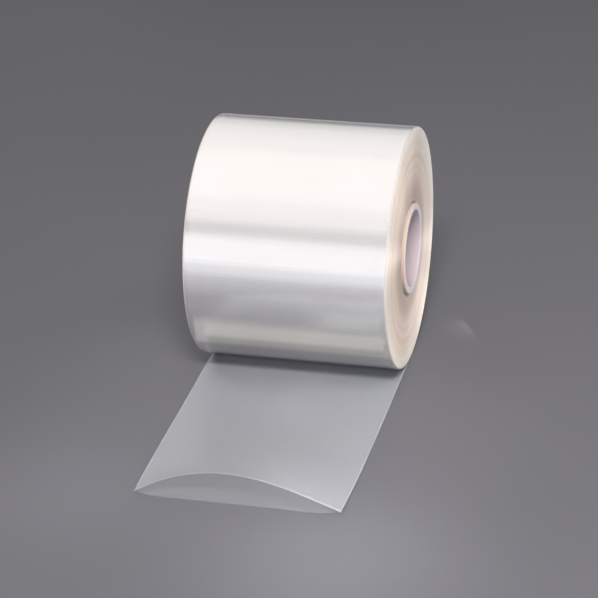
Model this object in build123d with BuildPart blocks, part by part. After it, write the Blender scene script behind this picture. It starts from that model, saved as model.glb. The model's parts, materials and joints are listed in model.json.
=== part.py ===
"""Roll of clear lay-flat film tubing on its core, lying on its side.

The web is wound on the core as one piece. Its free end is drawn out along the
floor towards -Y, and the cut mouth has popped open: the lower ply lies flat and
the upper ply stands up in an arch.

Frame: X runs along the core, -Y is the way the web pulls off, +Z is up. The
origin is on the floor, under the middle of the roll.
"""

import os
from math import sin, sqrt

from build123d import *

# Driving sizes of the web and the roll, in millimetres
web_width = 200.0  # lay-flat width of the tubing
film_wall = 0.2  # one ply of film
roll_diameter = 242.0
flat_spot = 26.0  # width of the flat that the soft roll settles onto

# Core
core_bore = 76.2  # three-inch core
core_wall = 7.4
core_proud = 3.0  # how far the core stands past the web at each end
core_chamfer = 1.0

# Bands of turns: the web wanders sideways a little as it is wound
turn_bands = 11
band_wander = 0.6  # furthest that a band stands past the web's true line
wander_step = 2.4  # phase in radians from one band to the next

# Drawn-out end and its open mouth
drawn_reach = 312.0  # from the roll's axis to the lower lip
open_run = 190.0  # length over which the two plies part
mouth_rise = 26.5  # upper lip over the creases
crease_lift = 3.0  # creases over the floor, at the lip
crease_curl = 27.0  # width of lower ply that curls up to each crease
crease_land = 0.5  # web left whole along each crease
cavity_start = 0.15  # share of the open run where the plies first part
lip_spare = 0.04  # share of the open run that is trimmed off at the lip

# The arch of the upper ply: places across the mouth and their share of the rise
arch_places = (-0.27, -0.05, 0.22)
arch_shares = (0.77, 1.0, 0.69)

# Sizes that follow from the driving ones
lay_flat = 2 * film_wall
roll_radius = roll_diameter / 2
axis_height = sqrt(roll_radius**2 - (flat_spot / 2) ** 2)
core_radius = core_bore / 2 + core_wall
core_length = web_width + 2 * core_proud
band_depth = (roll_radius - core_radius) / turn_bands
flat_run = drawn_reach - open_run
# the film doesn't stretch, so the upper lip draws back as the mouth rises
lip_setback = 2 * mouth_rise**2 / (3 * open_run)
# sections of the open run, as shares of it
stations = (1 / 3, 2 / 3, 1 + lip_spare)

roll_axis = Axis((0, 0, axis_height), (1, 0, 0))
roll_plane = Plane(origin=(0, 0, axis_height), x_dir=(1, 0, 0), z_dir=(0, -1, 0))
lip_plane = Plane(
    origin=(0, -drawn_reach, 0),
    x_dir=(1, 0, 0),
    z_dir=(0, -mouth_rise, lip_setback),
)


def opened(share):
    """How far the mouth has opened at a share of the open run, from 0 to 1."""
    return share**2


def station_plane(share):
    """Upright plane across the drawn-out end at a share of the open run."""
    return Plane(
        origin=(0, -flat_run - share * open_run, 0),
        x_dir=(1, 0, 0),
        z_dir=(0, -1, 0),
    )


def crease_gap(share):
    """Width between the creases: the two plies keep their girth as they part."""
    rise = mouth_rise * opened(share)
    return (web_width + sqrt(web_width**2 - 16 / 3 * rise**2)) / 2


def ply_outline(share, half, low, high, tip_low, tip_high):
    """Draws one closed section of the tube, between its creases at -half and half.

    low and high are the floor and the top of the section's flat part, and the
    two tips are the section's ends at each crease.
    """
    rise = mouth_rise * opened(share)
    flat_half = half - crease_curl
    bend_half = half - crease_curl / 2
    arch = [
        (place * 2 * half, high + crease_lift * opened(share) + part * rise)
        for place, part in zip(arch_places, arch_shares)
    ]
    Bezier((-half, tip_low), (-bend_half, low), (-flat_half, low))
    Line((-flat_half, low), (flat_half, low))
    Bezier((flat_half, low), (bend_half, low), (half, tip_low))
    if tip_high > tip_low:
        Line((half, tip_low), (half, tip_high))
        Line((-half, tip_high), (-half, tip_low))
    Spline((half, tip_high), *reversed(arch), (-half, tip_high))


# The web: wound turns, then the drawn-out end
with BuildPart() as tubing:
    with BuildSketch(roll_plane):
        for band in range(turn_bands):
            wander = band_wander * sin(wander_step * (turn_bands - 1 - band))
            with Locations((wander, core_radius + (band + 0.5) * band_depth)):
                Rectangle(web_width, band_depth)
    revolve(axis=roll_axis)
    split(bisect_by=Plane.XY, keep=Keep.TOP)

    with BuildSketch(Plane.XY):
        Rectangle(web_width, flat_run, align=(Align.CENTER, Align.MAX))
    extrude(amount=lay_flat)

    for share in (0, *stations):
        with BuildSketch(station_plane(share)):
            with BuildLine():
                lift = crease_lift * opened(share)
                ply_outline(
                    share, crease_gap(share) / 2, 0, lay_flat, lift, lift + lay_flat
                )
            make_face()
    loft()

    for share in (cavity_start, *stations):
        with BuildSketch(station_plane(share)):
            with BuildLine():
                tip = crease_lift * opened(share) + film_wall
                half = crease_gap(share) / 2 - crease_land
                ply_outline(share, half, film_wall, film_wall, tip, tip)
            make_face()
    loft(mode=Mode.SUBTRACT)
    split(bisect_by=lip_plane, keep=Keep.BOTTOM)

# The core: a plain plastic tube with its rims broken
with BuildPart() as core:
    with BuildSketch(Plane.YZ.offset(-core_length / 2)):
        with Locations((0, axis_height)):
            Circle(core_radius)
            Circle(core_bore / 2, mode=Mode.SUBTRACT)
    extrude(amount=core_length)
    chamfer(core.edges().filter_by(GeomType.CIRCLE), length=core_chamfer)

os.makedirs("parts", exist_ok=True)
for name, piece in (("tubing", tubing), ("core", core)):
    piece.part.label = name
    export_step(piece.part, f"parts/{name}.step")
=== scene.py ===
import json
import math

import bmesh
import bpy
import numpy as np
from mathutils import Matrix, Vector


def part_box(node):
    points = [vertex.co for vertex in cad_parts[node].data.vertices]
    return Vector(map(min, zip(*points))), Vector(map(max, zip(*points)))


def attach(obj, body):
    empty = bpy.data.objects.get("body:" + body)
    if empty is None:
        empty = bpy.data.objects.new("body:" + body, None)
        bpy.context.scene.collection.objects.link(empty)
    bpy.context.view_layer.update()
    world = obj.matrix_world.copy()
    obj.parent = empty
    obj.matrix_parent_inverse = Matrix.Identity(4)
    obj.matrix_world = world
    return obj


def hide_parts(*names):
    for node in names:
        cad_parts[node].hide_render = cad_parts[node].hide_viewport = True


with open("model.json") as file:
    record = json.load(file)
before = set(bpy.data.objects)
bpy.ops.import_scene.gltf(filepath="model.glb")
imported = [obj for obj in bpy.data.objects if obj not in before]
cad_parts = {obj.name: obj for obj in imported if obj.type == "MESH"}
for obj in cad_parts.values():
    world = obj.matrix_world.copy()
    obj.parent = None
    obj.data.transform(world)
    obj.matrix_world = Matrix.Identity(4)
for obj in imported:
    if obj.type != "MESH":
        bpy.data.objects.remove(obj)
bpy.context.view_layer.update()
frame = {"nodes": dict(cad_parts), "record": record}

scene = bpy.context.scene
scene.view_settings.view_transform = "Standard"  # keeps the film's whites white

# sizes read from the frame, in metres
mounts = {mount["name"]: mount for mount in frame["record"]["mounts"]}
axisHeight = mounts["core_bore"]["pos_m"][2]
boreRadius = mounts["core_bore"]["dims"]["r_mm"] / 1000
coreLow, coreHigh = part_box("core")
coreRadius = (coreHigh.y - coreLow.y) / 2
coreHalf = coreHigh.x
webLow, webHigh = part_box("tubing")
rollRadius = webHigh.y
lipReach = -webLow.y
webHalf = max(
    abs(point.co.x)
    for point in frame["nodes"]["tubing"].data.vertices
    if point.co.y < -rollRadius
)
print("frame read: roll radius", round(rollRadius, 4), "web half", round(webHalf, 4))


# node helpers

mixFactor, mixFirst, mixSecond, mixResult = 0, 6, 7, 2  # sockets of a Mix node set to colours


def addNode(tree, kind, place, **settings):
    node = tree.nodes.new(kind)
    node.location = place
    for key, value in settings.items():
        setattr(node, key, value)
    return node


def startGroup(name, inputs, outputs):
    group = bpy.data.node_groups.new(name, "ShaderNodeTree")
    for socketName, kind in inputs:
        group.interface.new_socket(socketName, in_out="INPUT", socket_type=kind)
    for socketName, kind in outputs:
        group.interface.new_socket(socketName, in_out="OUTPUT", socket_type=kind)
    source = addNode(group, "NodeGroupInput", (-900, 0))
    target = addNode(group, "NodeGroupOutput", (700, 0))
    return group, source, target


def placeGroup(tree, group, place, values):
    node = addNode(tree, "ShaderNodeGroup", place, node_tree=group)
    for key, value in values.items():
        node.inputs[key].default_value = value
    return node


def startMaterial(name):
    material = bpy.data.materials.new(name)
    material.use_nodes = True
    tree = material.node_tree
    shader = tree.nodes["Principled BSDF"]
    return material, tree, shader


def setShader(shader, **values):
    for key, value in values.items():
        shader.inputs[key.replace("_", " ")].default_value = value


def addBump(tree, shader, height, depth):
    bump = addNode(tree, "ShaderNodeBump", (-300, -350))
    bump.inputs["Strength"].default_value = 1
    bump.inputs["Distance"].default_value = depth
    tree.links.new(height, bump.inputs["Height"])
    tree.links.new(bump.outputs["Normal"], shader.inputs["Normal"])


# effects that several finishes share

def makeSoftMottle():
    group, source, target = startGroup(
        "soft mottle",
        [
            ("Scale", "NodeSocketFloat"),
            ("Light Colour", "NodeSocketColor"),
            ("Dark Colour", "NodeSocketColor"),
        ],
        [("Colour", "NodeSocketColor")],
    )
    links = group.links
    coords = addNode(group, "ShaderNodeTexCoord", (-900, 250))
    noise = addNode(group, "ShaderNodeTexNoise", (-600, 150))
    noise.inputs["Detail"].default_value = 3
    spread = addNode(group, "ShaderNodeMapRange", (-300, 150))
    spread.inputs["From Min"].default_value = 0.3
    spread.inputs["From Max"].default_value = 0.7
    mix = addNode(group, "ShaderNodeMix", (200, 100), data_type="RGBA")
    links.new(coords.outputs["Object"], noise.inputs["Vector"])
    links.new(source.outputs["Scale"], noise.inputs["Scale"])
    links.new(noise.outputs["Fac"], spread.inputs["Value"])
    links.new(spread.outputs["Result"], mix.inputs[mixFactor])
    links.new(source.outputs["Dark Colour"], mix.inputs[mixFirst])
    links.new(source.outputs["Light Colour"], mix.inputs[mixSecond])
    links.new(mix.outputs[mixResult], target.inputs["Colour"])
    return group


def makeFineStreaks():
    group, source, target = startGroup(
        "fine streaks",
        [("Stretch", "NodeSocketVector")],
        [("Height", "NodeSocketFloat"), ("Mask", "NodeSocketFloat")],
    )
    links = group.links
    coords = addNode(group, "ShaderNodeTexCoord", (-900, 250))
    scale = addNode(group, "ShaderNodeVectorMath", (-600, 200), operation="MULTIPLY")
    noise = addNode(group, "ShaderNodeTexNoise", (-300, 200))
    noise.inputs["Scale"].default_value = 1
    noise.inputs["Detail"].default_value = 5
    noise.inputs["Roughness"].default_value = 0.6
    spread = addNode(group, "ShaderNodeMapRange", (200, 0))
    spread.inputs["From Min"].default_value = 0.35
    spread.inputs["From Max"].default_value = 0.7
    links.new(coords.outputs["Object"], scale.inputs[0])
    links.new(source.outputs["Stretch"], scale.inputs[1])
    links.new(scale.outputs["Vector"], noise.inputs["Vector"])
    links.new(noise.outputs["Fac"], target.inputs["Height"])
    links.new(noise.outputs["Fac"], spread.inputs["Value"])
    links.new(spread.outputs["Result"], target.inputs["Mask"])
    return group


def makeTurnLines():
    # rings round the roll's axis, from how far a point lies from it
    group, source, target = startGroup(
        "turn lines",
        [("Per Metre", "NodeSocketFloat")],
        [("Height", "NodeSocketFloat"), ("Mask", "NodeSocketFloat"), ("Radius", "NodeSocketFloat")],
    )
    links = group.links
    coords = addNode(group, "ShaderNodeTexCoord", (-900, 250))
    centre = addNode(group, "ShaderNodeVectorMath", (-700, 250), operation="SUBTRACT")
    centre.inputs[1].default_value = (0, 0, axisHeight)
    flatten = addNode(group, "ShaderNodeVectorMath", (-500, 250), operation="MULTIPLY")
    flatten.inputs[1].default_value = (0, 1, 1)
    length = addNode(group, "ShaderNodeVectorMath", (-300, 250), operation="LENGTH")
    count = addNode(group, "ShaderNodeMath", (-100, 200), operation="MULTIPLY")
    noise = addNode(group, "ShaderNodeTexNoise", (100, 200), noise_dimensions="1D")
    noise.inputs["Scale"].default_value = 1
    noise.inputs["Detail"].default_value = 4
    noise.inputs["Roughness"].default_value = 0.6
    spread = addNode(group, "ShaderNodeMapRange", (350, 0))
    spread.inputs["From Min"].default_value = 0.35
    spread.inputs["From Max"].default_value = 0.65
    links.new(coords.outputs["Object"], centre.inputs[0])
    links.new(centre.outputs["Vector"], flatten.inputs[0])
    links.new(flatten.outputs["Vector"], length.inputs[0])
    links.new(length.outputs["Value"], count.inputs[0])
    links.new(source.outputs["Per Metre"], count.inputs[1])
    links.new(count.outputs["Value"], noise.inputs["W"])
    links.new(noise.outputs["Fac"], target.inputs["Height"])
    links.new(noise.outputs["Fac"], spread.inputs["Value"])
    links.new(spread.outputs["Result"], target.inputs["Mask"])
    links.new(length.outputs["Value"], target.inputs["Radius"])
    return group


softMottle = makeSoftMottle()
fineStreaks = makeFineStreaks()
turnLines = makeTurnLines()
print("shared effects made")


# finishes

woundFilmFinish = dict(
    light=(0.945, 0.93, 0.92, 1),
    dark=(0.905, 0.895, 0.89, 1),
    mottleScale=9,
    roughness=(0.17, 0.27),
    metallic=0.90,  # many clear layers mirror like a thin foil
    streakStretch=(7, 420, 420),
    streakDepth=0.00005,
)


def makeWoundFilm(spec):
    material, tree, shader = startMaterial("wound film")
    links = tree.links
    mottle = placeGroup(
        tree, softMottle, (-700, 200),
        {"Scale": spec["mottleScale"], "Light Colour": spec["light"], "Dark Colour": spec["dark"]},
    )
    streaks = placeGroup(tree, fineStreaks, (-700, -200), {"Stretch": spec["streakStretch"]})
    gloss = addNode(tree, "ShaderNodeMapRange", (-400, -100))
    gloss.inputs["To Min"].default_value, gloss.inputs["To Max"].default_value = spec["roughness"]
    links.new(mottle.outputs["Colour"], shader.inputs["Base Color"])
    links.new(streaks.outputs["Mask"], gloss.inputs["Value"])
    links.new(gloss.outputs["Result"], shader.inputs["Roughness"])
    addBump(tree, shader, streaks.outputs["Height"], spec["streakDepth"])
    setShader(shader, Metallic=spec["metallic"])
    return material


turnEdgeFinish = dict(
    light=(0.95, 0.80, 0.69, 1),
    dark=(0.82, 0.66, 0.56, 1),
    inner=(0.74, 0.71, 0.71, 1),  # painted shade: the tight turns round the core are darker
    coreShadeDepth=(0.034, 0.012),  # out from the core: where that starts and where it is full
    # painted highlight: the outer turns lighter and warmer towards the rim
    border=(1.0, 0.92, 0.83, 1),
    rimHighlightDepth=0.030,
    rim=(0.52, 0.48, 0.44, 1),  # painted shade: the rounded rim is darker, against the extra light it takes
    rimShadeDepth=(0.0016, 0.0010),  # in from the outside: where the rim starts and where it is full
    roughness=(0.60, 0.72),
    ior=2.4,
    metallic=0.35,
    anisotropy=0.95,
    sheenTurn=0.25,  # a quarter turn, so the sheen runs across the turns
    linesPerMetre=1400,
    linesPerBand=9,
    lineShare=0.4,  # the rest of the pattern is bands
    lineDepth=0.00015,
)


def makeTurnEdges(spec):
    material, tree, shader = startMaterial("turn edges")
    links = tree.links
    bandsPerMetre = spec["linesPerMetre"] / spec["linesPerBand"]
    lines = placeGroup(tree, turnLines, (-900, 0), {"Per Metre": spec["linesPerMetre"]})
    bands = placeGroup(tree, turnLines, (-900, -300), {"Per Metre": bandsPerMetre})
    blend = addNode(tree, "ShaderNodeMath", (-650, -100), operation="MULTIPLY_ADD")
    blend.inputs[1].default_value = spec["lineShare"]
    bandPart = addNode(tree, "ShaderNodeMath", (-780, -300), operation="MULTIPLY")
    bandPart.inputs[1].default_value = 1 - spec["lineShare"]
    colour = addNode(tree, "ShaderNodeMix", (-450, 200), data_type="RGBA")
    colour.inputs[mixFirst].default_value = spec["dark"]
    colour.inputs[mixSecond].default_value = spec["light"]
    # painted shade: the end face darker towards the core
    nearCore = addNode(tree, "ShaderNodeMapRange", (-650, 600), interpolation_type="SMOOTHSTEP")
    nearCore.inputs["From Min"].default_value = coreRadius + spec["coreShadeDepth"][0]
    nearCore.inputs["From Max"].default_value = coreRadius + spec["coreShadeDepth"][1]
    coreShadeColour = addNode(tree, "ShaderNodeMix", (-400, 200), data_type="RGBA", blend_type="MULTIPLY")
    coreShadeColour.inputs[mixSecond].default_value = spec["inner"]
    # painted highlight towards the outer rim
    nearRim = addNode(tree, "ShaderNodeMapRange", (-650, 300), interpolation_type="SMOOTHSTEP")
    nearRim.inputs["From Min"].default_value = rollRadius - spec["rimHighlightDepth"]
    nearRim.inputs["From Max"].default_value = rollRadius
    rimHighlightColour = addNode(tree, "ShaderNodeMix", (-350, 250), data_type="RGBA")
    rimHighlightColour.inputs[mixSecond].default_value = spec["border"]
    # painted shade on the rounded rim
    onRim = addNode(tree, "ShaderNodeMapRange", (-450, 450))
    onRim.inputs["From Min"].default_value = rollRadius - spec["rimShadeDepth"][0]
    onRim.inputs["From Max"].default_value = rollRadius - spec["rimShadeDepth"][1]
    rimShadeColour = addNode(tree, "ShaderNodeMix", (-200, 250), data_type="RGBA")
    rimShadeColour.inputs[mixSecond].default_value = spec["rim"]
    gloss = addNode(tree, "ShaderNodeMapRange", (-400, -100))
    gloss.inputs["To Min"].default_value, gloss.inputs["To Max"].default_value = spec["roughness"]
    around = addNode(tree, "ShaderNodeTangent", (-300, -550), direction_type="RADIAL", axis="X")
    links.new(bands.outputs["Mask"], bandPart.inputs[0])
    links.new(lines.outputs["Mask"], blend.inputs[0])
    links.new(bandPart.outputs["Value"], blend.inputs[2])
    links.new(blend.outputs["Value"], colour.inputs[mixFactor])
    links.new(lines.outputs["Radius"], nearCore.inputs["Value"])
    links.new(nearCore.outputs["Result"], coreShadeColour.inputs[mixFactor])
    links.new(colour.outputs[mixResult], coreShadeColour.inputs[mixFirst])
    links.new(lines.outputs["Radius"], nearRim.inputs["Value"])
    links.new(nearRim.outputs["Result"], rimHighlightColour.inputs[mixFactor])
    links.new(coreShadeColour.outputs[mixResult], rimHighlightColour.inputs[mixFirst])
    links.new(lines.outputs["Radius"], onRim.inputs["Value"])
    links.new(onRim.outputs["Result"], rimShadeColour.inputs[mixFactor])
    links.new(rimHighlightColour.outputs[mixResult], rimShadeColour.inputs[mixFirst])
    links.new(rimShadeColour.outputs[mixResult], shader.inputs["Base Color"])
    links.new(lines.outputs["Mask"], gloss.inputs["Value"])
    links.new(gloss.outputs["Result"], shader.inputs["Roughness"])
    links.new(around.outputs["Tangent"], shader.inputs["Tangent"])
    addBump(tree, shader, lines.outputs["Height"], spec["lineDepth"])
    setShader(
        shader, IOR=spec["ior"], Metallic=spec["metallic"],
        Anisotropic=spec["anisotropy"], Anisotropic_Rotation=spec["sheenTurn"],
    )
    return material


clearFilmFinish = dict(
    light=(0.50, 0.515, 0.548, 1),
    dark=(0.45, 0.463, 0.497, 1),
    mottleScale=14,
    haze=(0.022, 0.040),  # least and most of the floor that a ply hides
    crease=0.20,  # added along the creases: the fold is denser, with a painted highlight on it
    lip=0.28,  # added along the upper lip, a painted highlight on its cut edge
    roughness=0.18,
    metallic=0.12,  # part of what the film sends back is a clear mirror image
    glanceHaze=0.125,  # film looks denser at a glancing look
    glance=(0.1, 0.6),  # where that starts and where it is full
    laidCut=0.35,  # the lower ply clings to the floor and shows less
    streakStretch=(160, 5, 160),
)


def makeClearFilm(spec):
    material, tree, shader = startMaterial("clear film")
    links = tree.links
    mottle = placeGroup(
        tree, softMottle, (-900, 300),
        {"Scale": spec["mottleScale"], "Light Colour": spec["light"], "Dark Colour": spec["dark"]},
    )
    streaks = placeGroup(tree, fineStreaks, (-900, 0), {"Stretch": spec["streakStretch"]})
    haze = addNode(tree, "ShaderNodeMapRange", (-650, 0))
    haze.inputs["To Min"].default_value, haze.inputs["To Max"].default_value = spec["haze"]
    facing = addNode(tree, "ShaderNodeLayerWeight", (-900, -200))  # alike on both sides of the film
    steep = addNode(tree, "ShaderNodeMapRange", (-700, -200))
    steep.inputs["From Min"].default_value, steep.inputs["From Max"].default_value = spec["glance"]
    seen = addNode(tree, "ShaderNodeMath", (-500, -50), operation="MULTIPLY_ADD")
    seen.inputs[1].default_value = spec["glanceHaze"]
    laid = addNode(tree, "ShaderNodeAttribute", (-900, -750), attribute_name="laidShare")
    keep = addNode(tree, "ShaderNodeMath", (-700, -750), operation="MULTIPLY_ADD")
    keep.inputs[1].default_value, keep.inputs[2].default_value = -spec["laidCut"], 1
    perPly = addNode(tree, "ShaderNodeMath", (-450, -50), operation="MULTIPLY")
    crease = addNode(tree, "ShaderNodeAttribute", (-900, -350), attribute_name="creaseHazeAndSheen")
    lip = addNode(tree, "ShaderNodeAttribute", (-900, -550), attribute_name="lipHighlightShare")
    withCreaseHazeAndSheen = addNode(tree, "ShaderNodeMath", (-400, -150), operation="MULTIPLY_ADD")
    withCreaseHazeAndSheen.inputs[1].default_value = spec["crease"]
    withLipHighlight = addNode(tree, "ShaderNodeMath", (-200, -300), operation="MULTIPLY_ADD", use_clamp=True)
    withLipHighlight.inputs[1].default_value = spec["lip"]
    links.new(mottle.outputs["Colour"], shader.inputs["Base Color"])
    links.new(streaks.outputs["Mask"], haze.inputs["Value"])
    links.new(facing.outputs["Facing"], steep.inputs["Value"])
    links.new(steep.outputs["Result"], seen.inputs[0])
    links.new(haze.outputs["Result"], seen.inputs[2])
    links.new(crease.outputs["Fac"], withCreaseHazeAndSheen.inputs[0])
    links.new(laid.outputs["Fac"], keep.inputs[0])
    links.new(seen.outputs["Value"], perPly.inputs[0])
    links.new(keep.outputs["Value"], perPly.inputs[1])
    links.new(perPly.outputs["Value"], withCreaseHazeAndSheen.inputs[2])
    links.new(lip.outputs["Fac"], withLipHighlight.inputs[0])
    links.new(withCreaseHazeAndSheen.outputs["Value"], withLipHighlight.inputs[2])
    links.new(withLipHighlight.outputs["Value"], shader.inputs["Alpha"])
    setShader(shader, Metallic=spec["metallic"], Roughness=spec["roughness"])
    return material


corePlasticFinish = dict(
    light=(0.70, 0.66, 0.66, 1),
    dark=(0.60, 0.56, 0.575, 1),
    outside=(0.34, 0.26, 0.21, 1),  # darker and browner on the wound side
    outsideDepth=(0.0007, 0.0002),  # in from the outside: where that starts and where it is full
    # painted shade: the bore darker inside
    bore=(0.37, 0.305, 0.325, 1),
    boreShadeDepth=(0.0009, 0.0003),  # out from the bore: where that painted shade starts and where it is full
    roughness=(0.32, 0.48),
    streakStretch=(8, 260, 260),
    streakDepth=0.00008,
)


def makeCorePlastic(spec):
    material, tree, shader = startMaterial("core plastic")
    links = tree.links
    streaks = placeGroup(tree, fineStreaks, (-900, 0), {"Stretch": spec["streakStretch"]})
    rings = placeGroup(tree, turnLines, (-900, 300), {})  # for its radius only
    colour = addNode(tree, "ShaderNodeMix", (-500, 200), data_type="RGBA")
    colour.inputs[mixFirst].default_value = spec["dark"]
    colour.inputs[mixSecond].default_value = spec["light"]
    outside = addNode(tree, "ShaderNodeMapRange", (-650, 400))
    outside.inputs["From Min"].default_value = coreRadius - spec["outsideDepth"][0]
    outside.inputs["From Max"].default_value = coreRadius - spec["outsideDepth"][1]
    # painted shade inside the bore
    inside = addNode(tree, "ShaderNodeMapRange", (-650, 600))
    inside.inputs["From Min"].default_value = boreRadius + spec["boreShadeDepth"][0]
    inside.inputs["From Max"].default_value = boreRadius + spec["boreShadeDepth"][1]
    boreShadeColour = addNode(tree, "ShaderNodeMix", (-380, 250), data_type="RGBA")
    boreShadeColour.inputs[mixSecond].default_value = spec["bore"]
    sideColour = addNode(tree, "ShaderNodeMix", (-200, 250), data_type="RGBA")
    sideColour.inputs[mixSecond].default_value = spec["outside"]
    gloss = addNode(tree, "ShaderNodeMapRange", (-500, -100))
    gloss.inputs["To Min"].default_value, gloss.inputs["To Max"].default_value = spec["roughness"]
    links.new(streaks.outputs["Mask"], colour.inputs[mixFactor])
    links.new(rings.outputs["Radius"], outside.inputs["Value"])
    links.new(rings.outputs["Radius"], inside.inputs["Value"])
    links.new(inside.outputs["Result"], boreShadeColour.inputs[mixFactor])
    links.new(colour.outputs[mixResult], boreShadeColour.inputs[mixFirst])
    links.new(outside.outputs["Result"], sideColour.inputs[mixFactor])
    links.new(boreShadeColour.outputs[mixResult], sideColour.inputs[mixFirst])
    links.new(sideColour.outputs[mixResult], shader.inputs["Base Color"])
    links.new(streaks.outputs["Mask"], gloss.inputs["Value"])
    links.new(gloss.outputs["Result"], shader.inputs["Roughness"])
    addBump(tree, shader, streaks.outputs["Height"], spec["streakDepth"])
    return material


# mesh helpers

def buildObject(name, points, faces, materials, faceMaterials=None):
    mesh = bpy.data.meshes.new(name)
    mesh.from_pydata(points, [], faces)
    for material in materials:
        mesh.materials.append(material)
    if faceMaterials is not None:
        mesh.polygons.foreach_set("material_index", faceMaterials)
    form = bmesh.new()
    form.from_mesh(mesh)
    bmesh.ops.recalc_face_normals(form, faces=form.faces)
    form.to_mesh(mesh)
    form.free()
    mesh.polygons.foreach_set("use_smooth", [True] * len(mesh.polygons))
    piece = bpy.data.objects.new(name, mesh)
    scene.collection.objects.link(piece)
    return piece


def ringFaces(ringCount, segments):
    # quads between closed rings that also close on themselves, as on a lathe
    ring, step = np.meshgrid(np.arange(ringCount), np.arange(segments), indexing="ij")
    nextRing = (ring + 1) % ringCount
    nextStep = (step + 1) % segments
    corners = np.stack(
        [
            ring * segments + step,
            nextRing * segments + step,
            nextRing * segments + nextStep,
            ring * segments + nextStep,
        ],
        axis=-1,
    )
    return corners.reshape(-1, 4).tolist()


def turnPoints(alongs, radii, segments):
    # alongs and radii: one row for each ring, one column for each step round the axis
    angles = np.linspace(0, 2 * math.pi, segments, endpoint=False)
    depth = -radii * np.cos(angles)
    height = np.maximum(axisHeight + radii * np.sin(angles), 0)  # the flat spot under the roll
    along = np.broadcast_to(alongs, radii.shape)
    return np.stack([along, depth, height], axis=-1).reshape(-1, 3)


# the wound turns

wound = dict(
    segments=256,
    rings=84,  # turn edges shown on each end face
    columns=46,  # along the middle of the web
    endColumns=24,  # closer together over the creased ends
    endLength=0.030,
    endLines=0.00003,  # fine lines where the creases of the turns wander
    bands=11,  # bands of turns and their wander, as in the solid
    bandWander=0.0001,
    wanderStep=2.4,
    scatter=0.00006,  # sideways scatter of single turns
    rim=0.0014,  # softened outer rim
    rimDrop=0.0009,
    rimSteps=6,
    ridge=0.00022,  # the creased edges of the web build up a little
    ridgePlace=0.006,
    ridgeSpread=0.003,
    slack=0.00024,  # unevenness of the outermost turns, less in its finer waves
    slackWaves=((7, 9.0), (13, -14.0), (23, 6.0), (37, 22.0)),  # waves round the roll, slant along it
    crevice=0.0012,  # innermost turns sit back from the core's wall
    creviceWidth=0.0016,
    seed=11,
)


def makeWoundTurns(spec, materials):
    chance = np.random.default_rng(spec["seed"])
    segments = spec["segments"]
    outer = rollRadius - spec["ridge"]
    bandDepth = (rollRadius - coreRadius) / spec["bands"]

    # end faces: every turn edge at its own place along the roll
    faceRadii = np.linspace(coreRadius, outer - spec["rimDrop"], spec["rings"] + 1)
    band = (faceRadii - coreRadius) / bandDepth - 0.5
    shift = spec["bandWander"] * np.sin(spec["wanderStep"] * (spec["bands"] - 1 - band))
    shift = shift + spec["scatter"] * chance.uniform(-1, 1, len(shift))
    shift[-1] = 0  # the outermost edge meets the rim
    sunk = spec["crevice"] * (faceRadii < coreRadius + spec["creviceWidth"])

    # outer surface, from the right rim to the left one
    rimSteps = 1 - np.cos(np.linspace(0, math.pi / 2, spec["rimSteps"]))
    inner = webHalf - spec["endLength"]
    middle = np.linspace(inner, -inner, spec["columns"] + 1)
    rightRim = webHalf - spec["rim"] * rimSteps
    rightEnd = np.linspace(rightRim[-1], inner, spec["endColumns"], endpoint=False)[1:]
    along = np.concatenate([rightRim, rightEnd, middle, -rightEnd[::-1], -rightRim[::-1]])
    fromEnd = webHalf - np.abs(along)
    drop = spec["rimDrop"] * np.clip(1 - fromEnd / spec["rim"], 0, 1) ** 2
    ridge = spec["ridge"] * np.exp(-(((fromEnd - spec["ridgePlace"]) / spec["ridgeSpread"]) ** 2))
    fade = np.exp(-fromEnd / (spec["endLength"] / 2))
    lines = spec["endLines"] * fade * chance.uniform(-1, 0, len(along))
    bodyRadii = outer - drop + ridge + lines

    alongs = np.concatenate(
        [webHalf + shift - sunk, along[1:-1], (-webHalf + shift + sunk)[::-1]]
    )
    radii = np.concatenate([faceRadii, bodyRadii[1:-1], faceRadii[::-1]])
    angles = np.linspace(0, 2 * math.pi, segments, endpoint=False)
    radiusGrid = np.repeat(radii[:, None], segments, axis=1)

    # slack in the outermost turns, as a few long waves
    first, last = len(faceRadii), len(faceRadii) + len(along) - 2
    for lobes, slant in spec["slackWaves"]:
        phase = chance.uniform(0, 2 * math.pi)
        wave = np.sin(lobes * angles[None, :] + slant * along[1:-1, None] + phase)
        radiusGrid[first:last] += spec["slack"] / lobes * (wave - 1)

    points = turnPoints(alongs[:, None], radiusGrid, segments)
    faces = ringFaces(len(radii), segments)
    kinds = np.ones(len(radii), int)
    rimRings = len(rightRim) - 2
    kinds[first + rimRings:last - rimRings - 1] = 0  # the rounded rims look like the turn edges
    faceMaterials = np.repeat(kinds, segments).tolist()
    return buildObject("wound_turns", points.tolist(), faces, materials, faceMaterials)


# the drawn-out end: a flat tube of film that opens into an arched mouth

drawn = dict(
    wall=0.0002,
    gap=0.0001,  # between the plies where the tube lies flat
    start=-0.012,  # under the roll
    openRun=0.190,
    mouthRise=0.0265,
    creaseLift=0.003,
    creaseCurl=0.027,
    archPlaces=(-0.5, -0.27, -0.05, 0.22, 0.5),
    archShares=(0, 0.77, 1.0, 0.69, 0),
    across=56,
    stations=64,
    foldSteps=6,
    edgeSteps=(0.0004, 0.0008, 0.0014, 0.0024),  # close rows beside the creases and the lip
    edgeClear=0.004,  # where the even rows start beside them
    creaseHazeAndSheenBand=0.0014,
    # width of the painted highlight along the lip
    lipHighlightBand=0.004,
)


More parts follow.
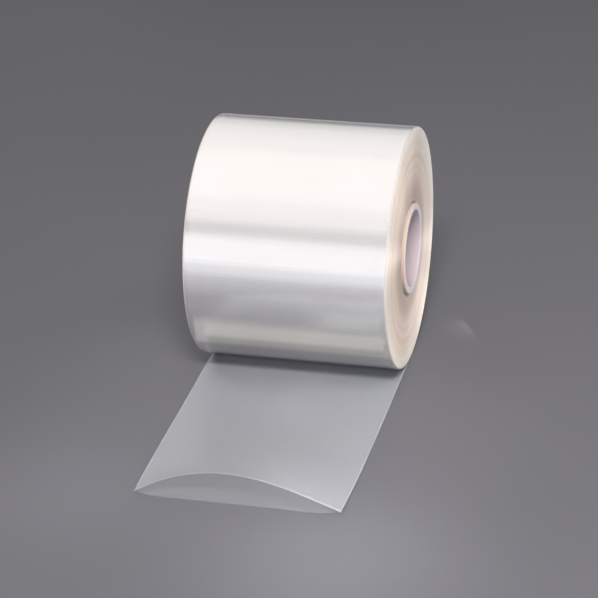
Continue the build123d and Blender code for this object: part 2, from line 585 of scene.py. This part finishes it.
def makeDrawnEnd(spec, material):
    degree = len(spec["archPlaces"]) - 1
    arch = np.polynomial.Polynomial.fit(spec["archPlaces"], spec["archShares"], degree)
    flatRun = lipReach - spec["openRun"]
    setback = 2 * spec["mouthRise"] / (3 * spec["openRun"])  # the higher film stands back at the lip
    thick = 2 * spec["wall"] + spec["gap"]

    lengths = np.linspace(-spec["start"], lipReach - spec["edgeClear"], spec["stations"])
    lengths = np.concatenate([lengths, lipReach - np.array(spec["edgeSteps"][::-1]), [lipReach]])
    fold = np.linspace(-math.pi / 2, math.pi / 2, spec["foldSteps"] + 2)[1:-1]

    outerRows, innerRows, creaseHazeAndSheenRows, lipHighlightRows, laidRows = [], [], [], [], []
    for length in lengths:
        share = max(0.0, (length - flatRun) / spec["openRun"])
        opened = share**2
        rise = spec["mouthRise"] * opened
        lift = spec["creaseLift"] * opened
        span = webHalf + math.sqrt(webHalf**2 - 4 / 3 * rise**2)  # the arch takes up some of the width
        half = span / 2

        edge = np.array((0, *spec["edgeSteps"]))
        inside = np.linspace(spec["edgeClear"] - half, half - spec["edgeClear"], spec["across"])
        line = np.concatenate([-half + edge, inside, (half - edge)[::-1]])
        curl = np.clip((np.abs(line) - half + spec["creaseCurl"]) / spec["creaseCurl"], 0, 1)
        low = lift * curl**2
        high = lift + thick + rise * np.clip(arch(line / span), 0, 1)

        def loop(shrink):
            # round the section: lower ply, right crease, upper ply, left crease
            tipRadius = thick / 2 - shrink
            tipMid = lift + thick / 2
            squeezed = line * (half - shrink) / half
            rightX = half - shrink + tipRadius * np.cos(fold) - tipRadius
            rightZ = tipMid + tipRadius * np.sin(fold)
            xs = np.concatenate([squeezed, rightX, squeezed[::-1], -rightX])
            zs = np.concatenate([low + shrink, rightZ, (high - shrink)[::-1], rightZ[::-1]])
            ys = -length + setback * zs * share**3
            return np.stack([xs, ys, zs], axis=-1)

        outer = loop(0.0)
        outerRows.append(outer)
        innerRows.append(loop(spec["wall"]))
        # denser fold and painted highlight along the creases
        creaseHazeAndSheenRows.append(np.clip(1 - (half - np.abs(outer[:, 0])) / spec["creaseHazeAndSheenBand"], 0, 1))
        # painted highlight along the upper lip
        lipHighlightShare = max(0.0, 1 - (lipReach - length) / spec["lipHighlightBand"])
        laid = np.arange(len(outer)) < len(line)  # the lower ply, whose edge lies on the floor
        lipHighlightRows.append(lipHighlightShare * ~laid)
        laidRows.append(laid)

    # the outer skin runs to the lip, and the inner skin back from it
    rows = outerRows + innerRows[::-1]
    perRow = len(rows[0])
    points = np.concatenate(rows)
    faces = ringFaces(len(rows), perRow)
    piece = buildObject("drawn_end", points.tolist(), faces, [material])
    for name, values in (("creaseHazeAndSheen", creaseHazeAndSheenRows), ("lipHighlightShare", lipHighlightRows), ("laidShare", laidRows)):
        attribute = piece.data.attributes.new(name, "FLOAT", "POINT")
        attribute.data.foreach_set("value", np.concatenate(values + values[::-1]).astype(np.float32))
    return piece


# the core: a plain tube with eased rims

coreTube = dict(segments=192, ease=0.0011, easeSteps=5)


def makeCoreTube(spec, material):
    quarter = np.linspace(0, math.pi / 2, spec["easeSteps"])
    ease = spec["ease"]
    # corners of the wall's section, and the angle that each easing ends at
    corners = (
        (coreHalf, coreRadius, math.pi / 2),
        (-coreHalf, coreRadius, math.pi),
        (-coreHalf, boreRadius, 1.5 * math.pi),
        (coreHalf, boreRadius, 0.0),
    )
    alongs, radii = [], []
    for cornerX, cornerR, turn in corners:
        midX = cornerX - math.copysign(ease, cornerX)
        midR = cornerR - ease if cornerR == coreRadius else cornerR + ease
        for angle in quarter:
            reach = turn - math.pi / 2 + angle
            alongs.append(midX + ease * math.cos(reach))
            radii.append(midR + ease * math.sin(reach))
    radiusGrid = np.repeat(np.array(radii)[:, None], spec["segments"], axis=1)
    points = turnPoints(np.array(alongs)[:, None], radiusGrid, spec["segments"])
    faces = ringFaces(len(radii), spec["segments"])
    return buildObject("core_tube", points.tolist(), faces, [material])


woundTurns = makeWoundTurns(wound, [makeWoundFilm(woundFilmFinish), makeTurnEdges(turnEdgeFinish)])
drawnEnd = makeDrawnEnd(drawn, makeClearFilm(clearFilmFinish))
tube = makeCoreTube(coreTube, makeCorePlastic(corePlasticFinish))
for piece, node, slotName in (
    (woundTurns, "tubing", "film"),
    (drawnEnd, "tubing", "film"),
    (tube, "core", "core_plastic"),
):
    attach(piece, "root")
    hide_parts(node)
    print("piece", piece.name, "faces", len(piece.data.polygons))


# floor, light and camera

floorSpec = dict(
    half=30.0,
    drop=0.0002,  # just under the part
    light=(0.080, 0.079, 0.0885, 1),
    dark=(0.0763, 0.0753, 0.0845, 1),
    mottleScale=3,
    roughness=0.45,
    shine=0.35,
)


def makeFloor(spec):
    half, level = spec["half"], -spec["drop"]
    corners = [(-half, -half, level), (half, -half, level), (half, half, level), (-half, half, level)]
    material, tree, shader = startMaterial("studio floor")
    mottle = placeGroup(
        tree, softMottle, (-400, 0),
        {"Scale": spec["mottleScale"], "Light Colour": spec["light"], "Dark Colour": spec["dark"]},
    )
    tree.links.new(mottle.outputs["Colour"], shader.inputs["Base Color"])
    setShader(shader, Roughness=spec["roughness"], Specular_IOR_Level=spec["shine"])
    floor = buildObject("floor", corners, [(0, 1, 2, 3)], [material])


# brightness is that of a card's lit face, and spread is in degrees
# a card with mirrored=False lights the scene but isn't seen in gloss
upward, downward = (0, 0, 1), (0, 0, -1)
studio = (
    # soft boxes and boards that the film mirrors
    dict(name="overhead box", place=(-0.175, -0.13, 1.32), facing=downward, size=(1.35, 1.24),
         brightness=0.75, colour=(1.0, 0.94, 0.91)),
    dict(name="overhead front box", place=(-0.40, -1.20, 1.32), facing=downward, size=(1.3, 0.90),
         brightness=0.66, colour=(1.0, 0.94, 0.925)),
    dict(name="overhead rear box", place=(-0.25, 0.85, 1.32), facing=downward, size=(1.8, 0.70),
         brightness=0.66, colour=(1.0, 0.95, 0.93)),
    dict(name="far overhead box", place=(-0.25, 1.80, 1.32), facing=downward, size=(1.8, 1.2),
         brightness=0.60, colour=(1.0, 0.96, 0.94)),
    dict(name="rear panel", place=(0, 2.4, 0.935), aim=(0, 0, 0.935), size=(4.0, 0.77),
         brightness=0.45, colour=(1.0, 0.985, 0.98)),
    dict(name="left rear panel", place=(-1.6, 2.3, 0.33), aim=(-0.2, 0, 0.33), size=(1.3, 0.60),
         brightness=0.38, colour=(1.0, 0.985, 0.98)),
    dict(name="rear floor card", place=(-0.375, 1.22, 0.012), facing=upward, size=(0.75, 1.55),
         brightness=0.30, colour=(0.98, 0.98, 1.0)),
    dict(name="low front panel", place=(-0.15, -1.15, 0.37), aim=(-0.15, 0, 0.37), size=(2.0, 0.52),
         brightness=0.74, colour=(1.0, 0.965, 1.0)),
    dict(name="front board", place=(0, -0.83, 0.075), aim=(0, -0.68, 0.40), size=(1.4, 0.36),
         brightness=0.50, colour=(0.93, 0.945, 1.0)),
    # cards near the floor, mirrored low on the roll
    dict(name="front floor card", place=(-0.05, -0.53, 0.012), facing=upward, size=(1.0, 0.38),
         brightness=0.065, colour=(0.92, 0.94, 1.0)),
    dict(name="left floor card", place=(-0.20, -0.46, 0.012), facing=upward, size=(0.36, 0.38),
         brightness=0.12, colour=(0.94, 0.95, 1.0), layers=3, feather=(0.08, 0.10)),
    dict(name="tail bounce card", place=(-0.004, -0.119, 0.02), facing=upward, size=(0.206, 0.058),
         brightness=0.35, colour=(1.0, 0.955, 0.92), layers=2, feather=(0.022, 0.027)),
    dict(name="right bounce card", place=(0.045, -0.175, 0.02), facing=upward, size=(0.090, 0.080),
         brightness=0.25, colour=(0.97, 0.97, 1.0), layers=2, feather=(0.035, 0.030)),
    # light for the film and the floor
    dict(name="nip card", place=(0, -0.041, 0.006), aim=(0, -0.0422, 0.0001), size=(0.20, 0.020),
         brightness=0.36, colour=(0.90, 0.92, 1.0), mirrored=False),
    dict(name="camera side fill", place=(-0.40, -2.25, 1.42), aim=(-0.40, 0, 0.12), size=(1.5, 0.55),
         brightness=0.30, colour=(1, 1, 1)),
    dict(name="key box", place=(0.381, -1.549, 1.635), aim=(0, -0.1, 0.1), size=(0.60, 0.26),
         brightness=157, colour=(1.0, 0.985, 0.975), mirrored=False),
    dict(name="mouth pool", place=(0.105, -0.375, 0.75), aim=(0.105, -0.370, 0), size=(0.14, 0.14),
         brightness=2.5, colour=(1, 1, 1), mirrored=False, spread=24),
    dict(name="left pool", place=(-0.14, -0.31, 0.75), aim=(-0.14, -0.305, 0), size=(0.14, 0.14),
         brightness=0.9, colour=(1, 1, 1), mirrored=False, spread=22),
    dict(name="tail pool", place=(0.25, -0.90, 0.75), aim=(0.035, -0.105, 0), size=(0.16, 0.04),
         brightness=0.7, colour=(1, 1, 1), mirrored=False, spread=6),
    dict(name="left foot pool", place=(-0.50, -0.25, 0.75), aim=(-0.13, -0.075, 0), size=(0.16, 0.16),
         brightness=0.5, colour=(1, 1, 1), mirrored=False, spread=14),
    dict(name="right foot pool", place=(0.55, -0.45, 0.75), aim=(0.11, -0.145, 0), size=(0.16, 0.16),
         brightness=0.6, colour=(1, 1, 1), mirrored=False, spread=14),
    # light for the end face
    dict(name="right box", place=(1.49, -0.40, 0.84), aim=(0, 0, 0.12), size=(1.1, 1.0),
         brightness=1.25, colour=(1.0, 0.955, 0.925)),
    dict(name="right top box", place=(1.15, 0.30, 1.30), aim=(0.1, 0, 0.12), size=(1.2, 1.3),
         brightness=1.4, colour=(1.0, 0.97, 0.95)),
    dict(name="right front fill", place=(1.0, -1.43, 0.40), aim=(0.1, 0, 0.12), size=(1.0, 0.40),
         brightness=6.6, colour=(0.965, 0.98, 1.0)),
    dict(name="right rear panel", place=(0.95, 1.7, 0.45), aim=(0.1, 0, 0.12), size=(0.9, 0.7),
         brightness=0.9, colour=(1.0, 0.97, 0.95)),
    dict(name="rim glint card", place=(0.32, 0.27, 0.005), facing=upward, size=(0.12, 0.12),
         brightness=4, colour=(0.60, 0.78, 1.0)),
    dict(name="low face card", place=(0.150, 0.075, 0.010), aim=(0.10, 0.045, 0.030), size=(0.030, 0.016),
         brightness=4.5, colour=(0.94, 0.97, 1.0), mirrored=False),
    dict(name="rear face card", place=(0.165, 0.060, 0.004), facing=upward, size=(0.05, 0.09),
         brightness=3.4, colour=(0.88, 0.94, 1.0), mirrored=False),
    dict(name="front face card", place=(0.165, -0.085, 0.004), facing=upward, size=(0.05, 0.07),
         brightness=2.6, colour=(1.0, 0.98, 0.95), mirrored=False),
)
layerGap = 0.0005  # between the layers of a soft-edged card
ambientSpec = dict(colour=(0.96, 0.975, 1.0, 1), strength=0.19)


def makeCard(spec, layer, layers):
    # layers of shrinking cards, one over the other, give a soft border
    feather = spec.get("feather", (0, 0))
    across, along = (side - layer * trim for side, trim in zip(spec["size"], feather))
    light = bpy.data.lights.new(spec["name"], "AREA")
    light.shape = "RECTANGLE"
    light.size, light.size_y = across, along
    light.energy = math.pi * spec["brightness"] / layers * across * along
    light.color = spec["colour"]
    light.spread = math.radians(spec.get("spread", 180))
    lamp = bpy.data.objects.new(spec["name"], light)
    place = Vector(spec["place"])
    facing = Vector(spec["facing"]) if "facing" in spec else Vector(spec["aim"]) - place
    lamp.location = place + facing.normalized() * layer * layerGap
    lamp.rotation_euler = facing.to_track_quat("-Z", "Y").to_euler()
    lamp.visible_camera = False
    lamp.visible_glossy = spec.get("mirrored", True)
    scene.collection.objects.link(lamp)


def makeStudio(cards, ambient):
    for spec in cards:
        layers = spec.get("layers", 1)
        for layer in range(layers):
            makeCard(spec, layer, layers)
    world = bpy.data.worlds.new("soft ambient")
    world.use_nodes = True
    background = world.node_tree.nodes["Background"]
    background.inputs["Color"].default_value = ambient["colour"]
    background.inputs["Strength"].default_value = ambient["strength"]
    scene.world = world


# the photo's camera, from a fit: metres, degrees and pixels, with the sensor in millimetres
cameraSpec = dict(
    focalPixels=2426.5, frameSide=598, sensor=36.0,
    target=(0, 0, 0.1207), distance=2.4265, azimuth=14.10, elevation=25.41,
    pan=0.353, pitch=-1.380, roll=1.665, farClip=100.0,
)


def makeCamera(spec):
    azimuth, elevation = math.radians(spec["azimuth"]), math.radians(spec["elevation"])
    back = Vector((
        math.sin(azimuth) * math.cos(elevation),
        -math.cos(azimuth) * math.cos(elevation),
        math.sin(elevation),
    ))
    right = (-back).cross(Vector((0, 0, 1))).normalized()
    up = right.cross(-back)
    turn = (
        Matrix.Rotation(math.radians(spec["roll"]), 3, "Z")
        @ Matrix.Rotation(math.radians(spec["pitch"]), 3, "X")
        @ Matrix.Rotation(math.radians(spec["pan"]), 3, "Y")
    )
    rows = turn @ Matrix((right, up, -back))
    data = bpy.data.cameras.new("photo camera")
    data.sensor_width = spec["sensor"]
    data.lens = spec["focalPixels"] / spec["frameSide"] * spec["sensor"]
    data.clip_end = spec["farClip"]
    camera = bpy.data.objects.new("photo camera", data)
    matrix = Matrix((rows[0], rows[1], -rows[2])).transposed().to_4x4()
    matrix.translation = Vector(spec["target"]) + back * spec["distance"]
    camera.matrix_world = matrix
    scene.collection.objects.link(camera)
    scene.camera = camera


makeFloor(floorSpec)
makeStudio(studio, ambientSpec)
makeCamera(cameraSpec)
print("stage, light and camera made")
